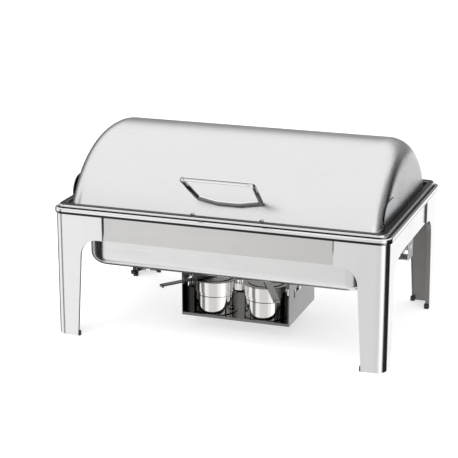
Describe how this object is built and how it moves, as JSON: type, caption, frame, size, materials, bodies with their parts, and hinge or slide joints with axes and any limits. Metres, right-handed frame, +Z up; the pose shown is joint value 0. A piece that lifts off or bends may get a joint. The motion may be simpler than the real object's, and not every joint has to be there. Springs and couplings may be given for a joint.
{
  "type": "roll-top chafing dish",
  "caption": "Roll-top chafing dish that keeps food warm over hot water, with a rolling lid, nested pans, a hanging fuel tray and burners with swing covers on a four-legged frame.",
  "frame": {"origin": "on the floor, under the middle of the whole object's bounding box, lid handle included", "axes": "+X along the dish to the right as seen from the handle side, +Z up, -Y towards the user and the lid handle"},
  "size_m": [0.606, 0.4297, 0.355],
  "materials": {
    "polished_rim": "mirror-polished stainless steel",
    "brushed_frame": "fine brushed stainless steel",
    "satin_lid": "satin stainless steel",
    "satin_pan": "satin drawn stainless steel",
    "polished_handle": "polished rod",
    "polished_fastener": "polished",
    "dark_stud": "dull dark steel",
    "dark_polished_tray": "polished sheet steel",
    "hinge_plate": "polished plate",
    "polished_burner": "polished spun steel",
    "can_tinplate": "tinplate",
    "fuel_gel": "translucent gel fuel",
    "nylon_spacer": "natural nylon",
    "black_rubber": "moulded rubber"
  },
  "bodies": {
    "frame": {"rim_bead": "polished_rim", "inner_ring": "polished_rim", "front_apron": "brushed_frame", "rear_apron": "brushed_frame", "left_apron": "brushed_frame", "right_apron": "brushed_frame", "water_pan": "satin_pan", "heater_studs": "dark_stud", "stud_nuts": "dark_stud", "drain_plug": "polished_fastener", "fuel_tray": "dark_polished_tray", "tray_pins": "polished_fastener", "bracket_screws": "polished_fastener", "front_left_leg": "brushed_frame", "front_left_foot_pads": "black_rubber", "front_right_leg": "brushed_frame", "front_right_foot_pads": "black_rubber", "rear_left_leg": "brushed_frame", "rear_left_foot_pads": "black_rubber", "rear_right_leg": "brushed_frame", "rear_right_foot_pads": "black_rubber", "pivot_bracket_left": "brushed_frame", "pivot_pin_left": "polished_fastener", "pivot_spacer_left": "nylon_spacer", "tray_hanger_left": "dark_polished_tray", "pivot_bracket_right": "brushed_frame", "pivot_pin_right": "polished_fastener", "pivot_spacer_right": "nylon_spacer", "tray_hanger_right": "dark_polished_tray"},
    "lid": {"lid_shell": "satin_lid", "lid_handle": "polished_handle", "handle_nuts": "polished_fastener", "rest_lugs": "polished_fastener", "arm_rivets": "polished_fastener", "hinge_arm_left": "hinge_plate", "hinge_arm_right": "hinge_plate"},
    "food_pan": {"food_pan": "satin_pan"},
    "burner_left": {"burner_cup_left": "polished_burner", "burner_collar_left": "polished_burner", "fuel_can_left": "can_tinplate", "fuel_gel_left": "fuel_gel", "cover_post_left": "polished_fastener"},
    "burner_right": {"burner_cup_right": "polished_burner", "burner_collar_right": "polished_burner", "fuel_can_right": "can_tinplate", "fuel_gel_right": "fuel_gel", "cover_post_right": "polished_fastener"},
    "cover_left": {"burner_cover_left": "dark_polished_tray", "cover_handle_left": "dark_polished_tray"},
    "cover_right": {"burner_cover_right": "dark_polished_tray", "cover_handle_right": "dark_polished_tray"}
  },
  "joints": [
    {"name": "lid_roll", "type": "hinge", "parent": "frame", "child": "lid", "pos_m": [0, 0.018, 0.166], "axis": [-1, 0, 0], "range_deg": [0, 75]},
    {"name": "food_pan_lift", "type": "slide", "parent": "frame", "child": "food_pan", "axis": [0, 0, 1], "range_m": [0, 0.02]},
    {"name": "burner_left_lift", "type": "slide", "parent": "frame", "child": "burner_left", "axis": [0, 0, 1], "range_m": [0, 0.018]},
    {"name": "burner_right_lift", "type": "slide", "parent": "frame", "child": "burner_right", "axis": [0, 0, 1], "range_m": [0, 0.018]},
    {"name": "cover_left_swing", "type": "hinge", "parent": "burner_left", "child": "cover_left", "pos_m": [-0.006, -0.024, 0.08], "axis": [0, 0, 1], "range_deg": [0, 45]},
    {"name": "cover_right_swing", "type": "hinge", "parent": "burner_right", "child": "cover_right", "pos_m": [0.0905, -0.024, 0.08], "axis": [0, 0, 1], "range_deg": [0, 25]}
  ]
}
